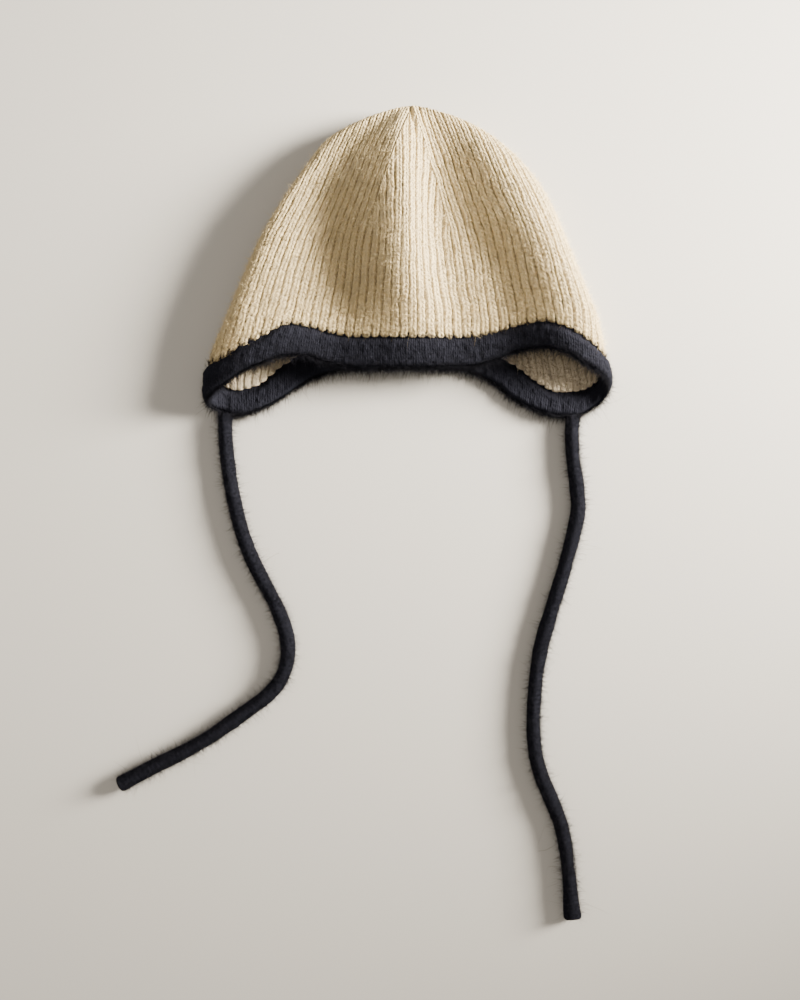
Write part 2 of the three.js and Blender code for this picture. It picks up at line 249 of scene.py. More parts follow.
def smooth_route(route, step):
    """A round curve through the places of a route, as points one step apart."""
    places = np.array(route, float)
    places = np.vstack([2 * places[0] - places[1], places, 2 * places[-1] - places[-2]])
    knots = np.concatenate([[0], np.cumsum(np.linalg.norm(np.diff(places, axis=0), axis=1) ** 0.5)])
    found = []
    for i in range(1, len(places) - 2):
        t = np.linspace(knots[i], knots[i + 1], 60, endpoint=False)[:, None]
        pull = [(knots[j + 1] - t) / (knots[j + 1] - knots[j]) for j in range(i - 1, i + 2)]
        first = [places[j] * pull[j - i + 1] + places[j + 1] * (1 - pull[j - i + 1])
                 for j in range(i - 1, i + 2)]
        wide = [(knots[j + 2] - t) / (knots[j + 2] - knots[j]) for j in (i - 1, i)]
        second = [first[j] * wide[j] + first[j + 1] * (1 - wide[j]) for j in (0, 1)]
        found.append(second[0] * pull[1] + second[1] * (1 - pull[1]))
    line = np.vstack(found + [places[-2][None]])
    run = np.concatenate([[0], np.cumsum(np.linalg.norm(np.diff(line, axis=0), axis=1))])
    even = np.linspace(0, run[-1], int(round(run[-1] / step)) + 1)
    return np.stack([np.interp(even, run, line[:, axis]) for axis in (0, 1)], axis=1), even


for label, route in (("left", TIE_LEFT_ROUTE), ("right", TIE_RIGHT_ROUTE)):
    print(f"{label} tie: {smooth_route(route, 1)[1][-1]:.1f} mm")

# %% Knit a tie along its route
TIE_COLUMNS = 9  # columns of stitches round the cord
TIE_SIDES = 4 * TIE_COLUMNS
TIE_ROW = 2.3  # mm from stitch to stitch
TIE_STEP = 0.55
TIE_RELIEF = 0.5
TIE_INSET = 0.2  # mm that the mean surface lies inside the radius
TIE_LUMPS = 0.2  # mm
TIE_SETTLE = 0.35  # mm that it flattens where it rests on the floor
TIE_TWIST = 0.012  # turns for each millimetre
ROOT = 5.5  # mm that a tie runs into the edge of the flap
ROOT_HEIGHT = 0.55  # of the full height, where it meets the thin edge
ROOT_WIDER = 0.22  # of the full width
TIE_UNEVEN = 0.07  # of the full width
CAP_STEPS = 8
CAP_BULGE = 1.2  # mm that the cut end is domed


def tie_stations(route):
    """Middle line, heading and run of a tie, with its root in the edge before the route starts."""
    line, run = smooth_route(route, TIE_STEP)
    heading = np.gradient(line, axis=0)
    heading /= np.linalg.norm(heading, axis=1)[:, None]
    reach = np.arange(ROOT, 0, -TIE_STEP)[:, None]
    line = np.vstack([line[0] - reach * heading[0], line])
    heading = np.vstack([np.repeat(heading[:1], len(reach), axis=0), heading])
    return line, heading, np.concatenate([-reach[:, 0], run])


def tie_surface(stations, spread, lobes, seed):
    """Rings of points in mm and their UVs; spread widens the cut end and lobes split it."""
    line, heading, run = stations
    length = run[-1]
    turn = 2 * np.pi * np.arange(TIE_SIDES) / TIE_SIDES
    wide = 1 + spread * np.exp(-(((length - run) / 9) ** 2))
    wide += ROOT_WIDER * np.exp(-(((run + ROOT) / 8) ** 2))
    wide += TIE_UNEVEN * soft_noise(run / 12, run * 0, seed)
    tall = 1 - (1 - ROOT_HEIGHT) * (1 - smooth_step((run + ROOT) / 12))
    ends = [(at, 1.0, 0.0) for at in range(len(run))]
    ends += [(len(run) - 1, math.cos(a), math.sin(a)) for a in np.linspace(0, math.pi / 2, CAP_STEPS + 1)[1:]]
    points, uv = [], []
    for at, shrink, past in ends:
        side = np.array([-heading[at][1], heading[at][0]])
        column = turn / (2 * np.pi) * TIE_COLUMNS + TIE_TWIST * run[at] * TIE_COLUMNS
        relief = stitch_height(column - np.round(column), run[at] / TIE_ROW)
        radius = TIE_RADIUS - TIE_INSET + TIE_RELIEF * (relief - 0.5)
        radius = radius + TIE_LUMPS * soft_noise(turn / 2 + 20, run[at] / 5, seed + 1)
        radius = radius * max(shrink, 0.001) ** 0.6
        across = radius * np.cos(turn) * wide[at]
        up = (TIE_RADIUS - TIE_SETTLE + radius * np.sin(turn)) * tall[at]
        notch = lobes * past * np.cos(turn) ** 2
        flat = line[at] + (past * CAP_BULGE + notch)[:, None] * heading[at] + across[:, None] * side
        points.append(np.column_stack([flat, np.maximum(up, LOWEST_Z)]))
        uv.append(np.column_stack([column, np.full(TIE_SIDES, (run[at] + past) / TIE_ROW)]))
    return np.array(points), np.array(uv)


def tie_fuzz(name, stations, short, strays, seed):
    """Short fibres all along a tie, most of them at its sides, and a few longer strays."""
    line, heading, run = stations
    rng = np.random.default_rng(seed)
    kinds = [  # how many, from where, length, thickness, joints and bend
        (short, 0, 3.0, 0.14, 1, 0.3),
        (strays, run[-1] - 45, 7, 0.12, 5, 0.5),
        (strays, 0, 6, 0.12, 5, 0.5),
    ]
    groups = []
    for count, from_run, length, thickness, joints, bend in kinds:
        at = rng.uniform(from_run, run[-1], count)
        turn = math.pi * rng.integers(0, 2, count) + rng.normal(0, 0.6, count)
        way = np.column_stack([np.interp(at, run, heading[:, axis]) for axis in (0, 1)])
        middle = np.column_stack([np.interp(at, run, line[:, axis]) for axis in (0, 1)])
        side = np.column_stack([-way[:, 1], way[:, 0]])
        normals = np.column_stack([side * np.cos(turn)[:, None], np.abs(np.sin(turn))])
        roots = np.column_stack([middle, np.full(count, TIE_RADIUS)]) + normals * (TIE_RADIUS - ROOT_DEPTH)
        lengths = 0.5 + length * rng.exponential(0.45, count).clip(0, 1.4)
        ways = standing_off(normals, 0.6, rng)
        groups.append(fibres(roots, ways, lengths, thickness, joints, bend, seed + 1))
    return fuzz_object(name, groups)


def knit_tie(side, route, spread, lobes, seed):
    stations = tie_stations(route)
    points, uv = tie_surface(stations, spread, lobes, seed)
    tie = grid_object(f"tie_{side}_cord", points[:, ::-1] * MM, uv[:, ::-1], around=True)
    fuzz = tie_fuzz(f"tie_{side}_fuzz", stations, short=14000, strays=45, seed=seed + 20)
    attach(tie, "root")
    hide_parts(f"tie_{side}")
    return tie, fuzz


tie_left, tie_left_fuzz = knit_tie("left", TIE_LEFT_ROUTE, spread=0.16, lobes=0.0, seed=11)
tie_right, tie_right_fuzz = knit_tie("right", TIE_RIGHT_ROUTE, spread=0.36, lobes=0.7, seed=12)

# %% [markdown]
# ## The form of the hat
#
# The hat is a tube knitted in the round and gathered at the tip. Lying flat, every cut across it is one
# closed loop: the front layer on top, a soft fold at each side, and the back layer on the floor. Modelling
# it freehand would lose the ribs' spacing, and a cloth simulation would not fall into these very folds. So
# the loops come from a short table of cuts, and the ribs are laid over them as the knitter shaped them: in
# the middle of each layer they run straight up and end one by one at a slanting line of decreases, and the
# ribs beside that line lean with it until they pass over the side fold.

# %% The table of cuts
TIP = {"x": 2.4, "y": 74.5}
PEAK = {"high": 1.9, "long": 0.9}  # mm: the gathered stitches stand up a little at the tip
RIBS = 90
QUARTER = RIBS / 4  # ribs from the middle of a layer to a side fold
WALL = 3.2
BACK_FOOT = 11
BACK_FOOT_SHARE = 0.6
DECREASE_BELOW_TIP = 66
DECREASE_EASE = 44  # the ribs bend over so many millimetres where the decreases start
TIP_CROWDING = 0.8  # pitch of the side ribs at the tip, as a share of the full pitch
# layer, side, and mm that the decreases lean out for each mm down
QUARTERS = [("front", 1, 0.29), ("back", 1, 0.3), ("back", -1, 0.3), ("front", -1, 0.34)]
CUT_COLUMNS = ["below", "left", "right", "fold_z", "under", "crest_l_x", "crest_l_z", "dip_l_x", "dip_l_z",
               "ridge_x", "ridge_z", "dip_r_x", "dip_r_z", "floor_r", "crest_r_x", "crest_r_z"]
CUTS = np.array([
    [0, 0, 0, 9, 9, 0, 9, 0, 9, 0, 9, 0, 9, 0, 0, 9],
    [1.5, 13.5, 12.5, 9, 5.4, -9, 12.6, -6, 12.8, -3, 13.4, 4, 12.6, 0, 8.5, 12.8],
    [6, 26.5, 25, 9, 1.4, -18, 14.6, -13, 15, -5, 17.8, 8, 15, 0, 17.5, 15.8],
    [16, 43, 41, 9.5, 0, -34, 15.8, -26, 17, -6, 24, 10, 18, 0, 30, 20.8],
    [29, 52.5, 55, 10, 0, -46, 18.2, -38, 17.8, -6, 28.2, 13, 19, 0, 39, 25.2],
    [44, 62.5, 65.5, 10, 0, -58, 19, -46, 17.2, -5, 30.4, 15, 18.8, 2, 49, 27.2],
    [64, 74.5, 74.5, 10, 0, -68, 19.6, -47, 16.6, -4, 30.6, 20, 18.6, 8, 59, 27.7],
    [84, 83.5, 82.5, 10, 0, -75, 20, -43, 16.4, -3, 29.4, 28, 18.2, 14, 69, 26.6],
    [104, 92, 90.5, 10, 0.9, -80, 20, -37, 16.4, -1, 23, 33, 16.8, 14, 76, 24.2],
    [120, 98.4, 94.2, 10, 1.1, -78, 19.6, -38, 15.6, -1, 17.6, 38, 15.4, 12, 74, 20.8],
    [134, 101.6, 96.8, 10, 1.6, -80, 18, -42, 15.2, 0, 16, 39, 15.2, 12, 74, 18.8],
    [150, 101.6, 95.6, 10, 2.6, -82, 17, -42, 15, 0, 15, 40, 15, 12, 76, 17],
], float)
RIM = np.array([  # rib, how far the edge lies below the tip, width of the black edge
    [0, 126.8, 14.4], [6, 126, 14.4], [9, 122.6, 13.3], [11.5, 118.7, 12.4], [14, 117.5, 12.5],
    [16.5, 120, 12.4], [19, 126.2, 12.7], [21, 130.8, 12.7], [22.5, 137, 15.5], [24.5, 144.6, 12.6],
    [27, 149, 12.4], [29, 148.8, 11.8], [31.5, 145.6, 14.6], [34, 139.7, 17.2], [36, 133, 16],
    [38, 127.8, 14.6], [40, 125.4, 14], [45, 124.5, 14], [52, 125.5, 14], [55, 129, 15.4],
    [57, 134.2, 16.8], [59, 140.6, 16.2], [61.5, 146.2, 12.4], [63.5, 148.4, 12.3], [65.5, 146.4, 14],
    [67.5, 142.5, 18], [70, 135.5, 13.9], [73, 127.4, 14.1], [76.5, 121.4, 15.8], [78, 121, 14.6],
    [81, 124.1, 14.5], [84, 126.6, 15], [90, 126.8, 14.4],
], float)


def through(keys, values):
    """A smooth line through a table's column that never overshoots its rows."""
    steps = np.diff(keys)
    slopes = np.diff(values) / steps
    before = np.append(slopes[0], slopes)
    after = np.append(slopes, slopes[-1])
    both = np.where(before + after == 0, 1, before + after)
    tangents = np.where(before * after <= 0, 0, 2 * before * after / both)

    def line(at):
        i = np.clip(np.searchsorted(keys, at) - 1, 0, len(steps) - 1)
        t = np.clip((at - keys[i]) / steps[i], 0, 1)
        rest = 1 - t
        ends = rest * rest * (1 + 2 * t) * values[i] + t * t * (3 - 2 * t) * values[i + 1]
        return ends + t * rest * steps[i] * (rest * tangents[i] - t * tangents[i + 1])

    return line


edge_of = through(RIM[:, 0], RIM[:, 1])
width_of = through(RIM[:, 0], RIM[:, 2])


def join_of(rib):
    """Where the cream ends and the black edge begins, below the tip."""
    return edge_of(np.mod(rib, RIBS)) - width_of(np.mod(rib, RIBS))


print("edge at the middle of the front:", edge_of(0.0), "mm below the tip")

# %% Work the cuts out into a surface
LAYERS = 900  # cuts that are worked out
SHARES = 360  # places along a quarter of each
LOWEST = 152
below_of_layer = np.linspace(0, math.sqrt(LOWEST), LAYERS) ** 2
cut = {name: through(np.sqrt(CUTS[:, 0]), CUTS[:, i])(np.sqrt(below_of_layer))[:, None]
       for i, name in enumerate(CUT_COLUMNS)}
# share of a flank that its start and its end take to round off; a valley is sharper than a crest
FLANKS = [(0.5, 0.2), (0.25, 0.25), (0.25, 0.4), (0.3, 0.3), (0.35, 0.3)]


def flank(t, start, end):
    """0 to 1 along a straight flank whose two ends are rounded off."""
    t = np.clip(t, 0, 1)
    whole = 1 - start / 2 - end / 2
    rise = np.where(t < start, t ** 2 / (2 * start), t - start / 2)
    return np.where(t > 1 - end, whole - (1 - t) ** 2 / (2 * end), rise) / whole


def quarter_line(layer, side):
    """X and Z along a quarter of every cut, from the middle of the layer to the side fold."""
    fold = cut["right"] if side > 0 else -cut["left"]
    share = np.linspace(0, 1, 120, endpoint=False)[None, :]
    turn = np.linspace(0, np.pi / 2, 48)[None, :]
    if layer == "front":
        places = ("crest_l", "dip_l", "ridge", "dip_r", "dip_r", "crest_r")
        shifts = (0, 0, 0, -cut["floor_r"] / 2, cut["floor_r"] / 2, 0)
        knots = [(cut[place + "_x"] + shift, cut[place + "_z"]) for place, shift in zip(places, shifts)]
        crest_x, crest_z = knots[-1] if side > 0 else knots[0]
        x = crest_x * share
        z = knots[0][1] + 0 * x
        for (x0, z0), (x1, z1), ends in zip(knots, knots[1:], FLANKS):
            z = z + (z1 - z0) * flank((x - x0) / np.maximum(x1 - x0, 1e-6), *ends)
        end_x = crest_x + (fold - crest_x) * np.sin(turn)
        end_z = cut["fold_z"] + (crest_z - cut["fold_z"]) * np.cos(turn)
    else:
        foot = fold - side * np.minimum(BACK_FOOT, np.abs(fold) * BACK_FOOT_SHARE)
        x = foot * share
        z = cut["under"] + 0 * x
        end_x = foot + (fold - foot) * np.sin(turn)
        end_z = cut["fold_z"] - (cut["fold_z"] - cut["under"]) * np.cos(turn)
    return np.hstack([x, end_x]), np.hstack([z, end_z])


def length_to_x(x, run, reach):
    """How long each cut is up to the place so far from its middle."""
    return np.array([np.interp(goal, np.abs(row), along) for row, along, goal in zip(x, run, reach)])


surface = []
for layer, side, decrease in QUARTERS:
    x, z = quarter_line(layer, side)
    run = np.hstack([np.zeros((LAYERS, 1)), np.cumsum(np.hypot(np.diff(x), np.diff(z)), axis=1)])
    length = run[:, -1]
    panel = length_to_x(x, run, decrease * below_of_layer)
    pitch = np.interp(DECREASE_BELOW_TIP, below_of_layer, length) / QUARTER
    panel_ribs = np.interp(DECREASE_BELOW_TIP, below_of_layer, panel) / pitch
    even = np.linspace(0, 1, SHARES)
    x = np.array([np.interp(even * total, row, values) for total, row, values in zip(length, run, x)])
    z = np.array([np.interp(even * total, row, values) for total, row, values in zip(length, run, z)])
    across = np.stack([np.gradient(x, axis=1), np.zeros_like(x), np.gradient(z, axis=1)], axis=-1)
    along = np.stack([np.gradient(x, below_of_layer, axis=0), -np.ones_like(x),
                      np.gradient(z, below_of_layer, axis=0)], axis=-1)
    outward = np.cross(across, along) * (-side if layer == "front" else side)
    outward[0] = (0, 1, 0)
    outward /= np.maximum(np.linalg.norm(outward, axis=-1, keepdims=True), 1e-12)
    surface.append({"table": np.concatenate([x[..., None], z[..., None], outward], axis=-1),
                    "length": length, "panel": panel, "pitch": pitch, "panel_ribs": panel_ribs})
    print(layer, side, "pitch", round(pitch, 2), "mm, panel", round(panel_ribs, 1), "ribs")


def rib_length(part, count, below):
    """How far a rib lies from the middle of its layer, along the cut."""
    length = np.interp(below, below_of_layer, part["length"])
    panel = np.interp(below, below_of_layer, part["panel"])
    crowding = TIP_CROWDING + (1 - TIP_CROWDING) * np.minimum(below / DECREASE_BELOW_TIP, 1)
    inside = np.minimum(count * part["pitch"], panel)
    outside = panel + (count - part["panel_ribs"]) * part["pitch"] * crowding
    narrowed = np.minimum(np.where(count <= part["panel_ribs"], inside, outside), length)
    even = length * count / QUARTER
    ease = smooth_step((below - DECREASE_BELOW_TIP) / DECREASE_EASE + 0.5)
    return narrowed + (even - narrowed) * ease, length


def knit(rib, below):
    """Points in mm, outward normals and the fullness of the rib, for arrays of ribs and places."""
    turn = np.mod(rib, RIBS)
    number = np.minimum((turn // QUARTER).astype(int), 3)
    inside = turn - number * QUARTER
    count = np.where(number % 2 == 0, inside, QUARTER - inside)
    points = np.zeros(rib.shape + (3,))
    normals = np.zeros(rib.shape + (3,))
    fullness = np.zeros(rib.shape)
    layer = np.sqrt(np.clip(below, 0, LOWEST - 0.1) / LOWEST) * (LAYERS - 1)
    for i, part in enumerate(surface):
        here = number == i
        if not here.any():
            continue
        at, fall = count[here], below[here]
        run, length = rib_length(part, at, fall)
        near = rib_length(part, np.maximum(at - 0.5, 0), fall)[0]
        far = rib_length(part, np.minimum(at + 0.5, QUARTER), fall)[0]
        whole = np.minimum(0.5 + np.minimum(at, QUARTER - at), 1)
        fullness[here] = np.minimum((far - near) / (part["pitch"] * whole), 1)
        share = np.clip(run / np.maximum(length, 1e-9), 0, 1) * (SHARES - 1)
        low = np.minimum(layer[here].astype(int), LAYERS - 2)
        left = np.minimum(share.astype(int), SHARES - 2)
        t = (layer[here] - low)[:, None]
        s = (share - left)[:, None]
        table = part["table"]
        found = ((table[low, left] * (1 - s) + table[low, left + 1] * s) * (1 - t)
                 + (table[low + 1, left] * (1 - s) + table[low + 1, left + 1] * s) * t)
        place_y = TIP["y"] - fall + PEAK["high"] * np.exp(-fall / PEAK["long"])
        points[here] = np.column_stack([TIP["x"] + found[:, 0], place_y, found[:, 1]])
        normals[here] = found[:, 2:] / np.linalg.norm(found[:, 2:], axis=1)[:, None]
    return points, normals, fullness

# %% [markdown]
# ## The cream crown
#
# One-by-one rib is one column of knit stitches and one of purl, in turn. The purl columns sink back, so
# what shows is broad knit columns with a narrow dark groove between them. The columns are real shape here,
# because they make the outline and catch the light, and so is each stitch. The grooves wander a little, as
# hand-washed knitting does. The fabric is made as two outer sheets, front and back, that share their
# columns at the side folds, and one inner sheet, which shows through the openings over the ear flaps.

# %% The relief of the rib knit
ROW = 2.1  # mm from stitch to stitch
RIB_COLUMNS = [-0.5, -0.44, -0.36, -0.2, 0, 0.2, 0.36, 0.44]  # of a rib; close at the grooves
BACK_COLUMNS = [-0.5, -0.42, -0.25, 0, 0.25, 0.42]
GROOVE = 0.85
GROOVE_FROM = 0.36  # of a rib, where the side of a groove starts
GROOVE_CHANGE = 0.45  # share by which a groove opens and closes
GROOVE_BEADS = 0.035  # of a rib, how far each stitch swells into the groove
RIB_ROUND = 0.3
STITCH_RELIEF = 0.65
UNEVEN = 0.16  # mm, of whole stitches and again of the yarn
WANDER = 0.12  # of a rib
PUCKER = {"deep": 2.0, "wide": 0.6, "long": 25, "lean": 0.19, "left": 1.2}


def wandering(rib, below):
    """Each rib drifts a little to either side."""
    slow = soft_noise(rib, below / 9, 3, wrap=RIBS)
    quick = soft_noise(rib, below / 2.8, 4, wrap=RIBS)
    return rib + WANDER * slow + WANDER / 2 * quick


def rib_relief(rib, below, fullness, finer=1):
    """Depth under the crests, in mm, on a face of the rib knit; finer makes more, narrower ribs."""
    off = np.abs(rib * finer - np.round(rib * finer))
    row = (join_of(rib) - below) / ROW
    open_here = 1 + GROOVE_CHANGE * soft_noise(rib, below / 14, 6, wrap=RIBS)
    drift = 3 * soft_noise(np.round(rib * finer + 0.5), below / 30, 7)
    beads = GROOVE_BEADS * np.cos(2 * np.pi * (row + drift))
    groove = GROOVE * smooth_step((off + beads - GROOVE_FROM) / (0.5 - GROOVE_FROM)) * open_here
    plait = stitch_height(off, row)
    uneven = UNEVEN * soft_noise(rib * 2, below / 2.6, 5, wrap=2 * RIBS)
    grain = UNEVEN * soft_noise(rib * 4, below / 1.2, 9, wrap=4 * RIBS)
    return (groove + RIB_ROUND * (2 * off) ** 2 + STITCH_RELIEF * (1 - plait) + uneven + grain) * fullness


def pucker(points, below):
    """Depth of the small pleat where the ribs are drawn together at the tip."""
    beside = (points[..., 0] - TIP["x"] + PUCKER["left"] - PUCKER["lean"] * below) / PUCKER["wide"]
    fade = smooth_step(below / 2 + 0.3) * (1 - smooth_step(below / PUCKER["long"]))
    banks = 0.15 * np.exp(-((np.abs(beside) - 2.6) / 1.1) ** 2)
    return PUCKER["deep"] * fade * (np.exp(-beside ** 2) - banks)


SCALLOP = 1.3  # mm that a cream rib reaches down between the black stitches
SCALLOP_RISE = 0.7


def rib_end(rib, finer=1):
    """Where each cream rib ends, below the tip: a round tongue over the black."""
    off = np.abs(rib * finer - np.round(rib * finer))
    beside = (join_of(np.round(rib * finer) / finer) + join_of(rib)) / 2
    return beside - SCALLOP_RISE + SCALLOP / finer ** 2 * np.sqrt(np.maximum(1 - (2 * off) ** 2.6, 0))


def columns_between(first, last, offsets):
    centres = np.arange(round(first + 0.5), round(last + 0.5))
    return np.append((centres[:, None] + np.array(offsets)).reshape(-1), last)


TIP_CAP = 1.3  # mm below the tip, where the rows start to be even
CURL = 1.6  # mm that the end of a rib turns in
CURL_LONG = 0.8  # mm that it reaches on while it turns


def knit_outside(name, first, last, offsets, rows):
    """A sheet of the outer face from rib first to rib last, rounded over at its lower end."""
    ribs = columns_between(first, last, offsets)
    end = rib_end(ribs)[None, :]
    cap = TIP_CAP * np.linspace(0, 1, 7)[:-1, None] ** 2 + 0 * end
    share = np.linspace(0, 1, rows)[:, None]
    curl = np.linspace(0, np.pi / 2, 6)[1:, None]
    below = np.vstack([cap, TIP_CAP + (end - TIP_CAP) * share, end + CURL_LONG * np.sin(curl)])
    turned = np.vstack([0 * cap, 0 * share + 0 * end, CURL * (1 - np.cos(curl)) + 0 * end])
    rib = np.broadcast_to(ribs[None, :], below.shape)
    points, normals, fullness = knit(wandering(rib, below), below)
    depth = rib_relief(rib, below, fullness) + turned
    if first < 0:
        depth += pucker(points, below)
    on_floor = np.clip(points[..., 2] / WALL, 0.25, 1)  # the floor presses the relief flat
    points -= normals * (depth * on_floor)[..., None]
    points[..., 2] = np.maximum(points[..., 2], LOWEST_Z)
    uv = np.stack([rib, (join_of(rib) - below) / ROW], axis=-1)
    sheet = grid_object(name, points * MM, uv)
    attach(sheet, "root")
    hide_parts("crown")
    return sheet


CROWN_ROWS = 230
crown_front = knit_outside("crown_front", -QUARTER, QUARTER, RIB_COLUMNS, CROWN_ROWS)
crown_back = knit_outside("crown_back", QUARTER, 3 * QUARTER, BACK_COLUMNS, CROWN_ROWS)

# %% The inner face
INNER_PROUD = 0.6  # mm beyond the plain wall
INNER_RELIEF = 0.65  # of the outside's
INNER_TUFTS = 0.1  # mm
INNER_START = 8  # mm below the tip, where the hollow starts
INNER_RIBS = 117  # the inside is drawn together, so its ribs lie closer


def knit_inside(name, offsets, rows):
    """The wrong side of the rib, where the purl columns stand out and the knit ones sink."""
    finer = INNER_RIBS / RIBS
    ribs = columns_between(-0.5, INNER_RIBS - 0.5, offsets)[:-1] / finer
    end = rib_end(ribs, finer)[None, :]
    share = np.linspace(0, 1, rows)[:, None] ** 0.8
    curl = np.linspace(0, np.pi / 2, 6)[1:, None]
    below = np.vstack([INNER_START + (end - INNER_START) * share, end + CURL_LONG * np.sin(curl)])
    turned = np.vstack([0 * share + 0 * end, CURL * (1 - np.cos(curl)) + 0 * end])
    rib = np.broadcast_to(ribs[None, :], below.shape)
    points, normals, fullness = knit(wandering(rib, below), below)
    tufts = INNER_TUFTS * soft_noise(rib * 4, below / 1.6, 14, wrap=4 * RIBS)
    depth = WALL + INNER_PROUD - INNER_RELIEF * rib_relief(rib, below, fullness, finer) + tufts - turned
    points -= normals * depth[..., None]
    points = np.vstack([np.broadcast_to(points[0].mean(axis=0), points[:1].shape), points])
    uv = np.stack([rib * finer, (join_of(rib) - below) / ROW], axis=-1)
    uv = np.vstack([uv[:1], uv])
    sheet = grid_object(name, points[:, ::-1] * MM, uv[:, ::-1], around=True)
    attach(sheet, "root")
    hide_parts("crown")
    return sheet


crown_inside = knit_inside("crown_inside", BACK_COLUMNS, 80)

# %% [markdown]
# ## The black edge
#
# The edge is knitted on to the crown in black wool, with finer columns than the rib, and is a little
# thicker. It starts under the ends of the cream ribs, so black shows up between them, and its lower edge is
# round. It is one closed ring of fabric: down the outer face, round the edge, up the inner face and back to
# its start inside the wall.

# %% Knit the edge
EDGE_COLUMNS_PER_RIB = 2
EDGE_PROUD = 1.0
EDGE_INWARD = 0.5
EDGE_ROUND = 2.4
EDGE_RELIEF = 0.17
EDGE_UNEVEN = 0.25  # mm
EDGE_GRAIN = 0.14  # mm
EDGE_ROW = 2.0
INNER_ROWS = 60  # the row that the inner face counts down from
EDGE_TUCK = 1.6  # mm that it reaches up under the cream
EDGE_SUNK = 2.3  # mm that its top lies under its full thickness
EDGE_STEP = 5  # mm down to where it is at full thickness


def knit_edge(name, places_per_rib):
    """Each section has its place below the tip, its depth and the way that it faces."""
    ribs = np.linspace(0, RIBS, RIBS * places_per_rib, endpoint=False)
    join = join_of(ribs)
    top = join - EDGE_TUCK
    low = edge_of(ribs) - EDGE_ROUND
    half = (WALL + EDGE_PROUD + EDGE_INWARD) / 2

    def sunk(below):
        return EDGE_SUNK * (1 - smooth_step((below - join) / EDGE_STEP))

    sections = []
    for t in np.linspace(0, 1, 26) ** 1.2:
        below = top + (low - top) * t
        sections.append((below, sunk(below) - EDGE_PROUD, 1))
    for turn in np.linspace(0, np.pi, 13)[1:-1]:
        below = low + EDGE_ROUND * math.sin(turn)
        sections.append((below, half * (1 - math.cos(turn)) - EDGE_PROUD, math.cos(turn)))
    for t in np.linspace(0, 1, 20):
        below = low + (top - low) * t
        sections.append((below, WALL + EDGE_INWARD - sunk(below), -1))
    rows = []
    for below, depth, facing in sections:
        points, normals, _ = knit(wandering(ribs, below), below)
        column = ribs * EDGE_COLUMNS_PER_RIB
        row = (edge_of(ribs) - below) / EDGE_ROW
        relief = EDGE_RELIEF * (1 - stitch_height(column - np.round(column), row))
        relief = relief + EDGE_UNEVEN * soft_noise(ribs * 2, below / 2.5, 8, wrap=2 * RIBS)
        relief = relief + EDGE_GRAIN * soft_noise(ribs * 5, below / 1.1, 10, wrap=5 * RIBS)
        points = points - normals * (depth + relief * facing)[:, None]
        points[:, 2] = np.maximum(points[:, 2], LOWEST_Z)
        rows.append((points, np.stack([column, row if facing > 0 else INNER_ROWS - row], axis=-1)))
    rows.append((rows[0][0], rows[-1][1]))
    points = np.array([row[0] for row in rows]) * MM
    uv = np.array([row[1] for row in rows])
    edge = grid_object(name, points, uv, around=True)
    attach(edge, "root")
    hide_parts("brim_band")
    return edge


brim_edge = knit_edge("brim_edge", 12)

# %% [markdown]
# ## Fuzz on the crown and the edge
#
# The cream wool has short fibres that blur the ribs' outlines. The black wool is hairier, with a few long
# strays that show against the floor, and the inner face has a few fibres near the openings. All of them
# start on the same surface as the knitting, so they find their own places on it.

# %% Grow the fuzz
INSIDE_FUZZ_BAND = 26  # mm above the join
CROWN_STRAYS = 60
EDGE_STRAYS = 70


def on_the_knit(count, deepest, rng, lowest_of, highest_of, proud):
    """Random roots and normals, off the part that is pressed to the floor."""
    rib = rng.uniform(0, RIBS, count * 2)
    share = np.sqrt(rng.uniform(0, 1, count * 2))
    below = highest_of(rib) + (lowest_of(rib) - highest_of(rib)) * share
    points, normals, fullness = knit(rib, below)
    free = (points[:, 2] > 2) & (fullness > 0.5)
    keep = np.nonzero(free)[0][:count]
    depth = rng.uniform(0, deepest, len(keep)) - proud
    return points[keep] - normals[keep] * depth[:, None], normals[keep]


def crown_fuzz(count, seed):
    rng = np.random.default_rng(seed)
    roots, normals = on_the_knit(count, 0.8, rng, join_of, lambda rib: 0 * rib + 0.5, 0)
    lengths = 0.9 + rng.exponential(1.0, len(roots)).clip(0, 4)
    ways = standing_off(normals, 1.3, rng)
    short = fibres(roots, ways, lengths, thickness=0.14, joints=1, bend=0.2, seed=seed + 1)
    few = slice(0, CROWN_STRAYS)
    ways = standing_off(normals[few], 0.8, rng)
    stray = fibres(roots[few], ways, lengths[few] * 2.5, thickness=0.08, joints=5, bend=0.4, seed=seed + 2)
    return fuzz_object("crown_fuzz", [short, stray])


def inside_fuzz(count, seed):
    """Fibres on the inner face of the back layer, near the openings over the ear flaps."""
    rng = np.random.default_rng(seed)
    rib = rng.uniform(QUARTER, 3 * QUARTER, count)
    points, outward, _ = knit(rib, rib_end(rib) - INSIDE_FUZZ_BAND * rng.uniform(0, 1, count) ** 1.5)
    roots = points - outward * (WALL + INNER_PROUD - ROOT_DEPTH)
    lengths = 0.7 + rng.exponential(0.4, count).clip(0, 1.3)
    ways = standing_off(-outward, 0.9, rng)
    short = fibres(roots, ways, lengths, thickness=0.12, joints=1, bend=0.3, seed=seed + 1)
    return fuzz_object("inside_fuzz", [short])


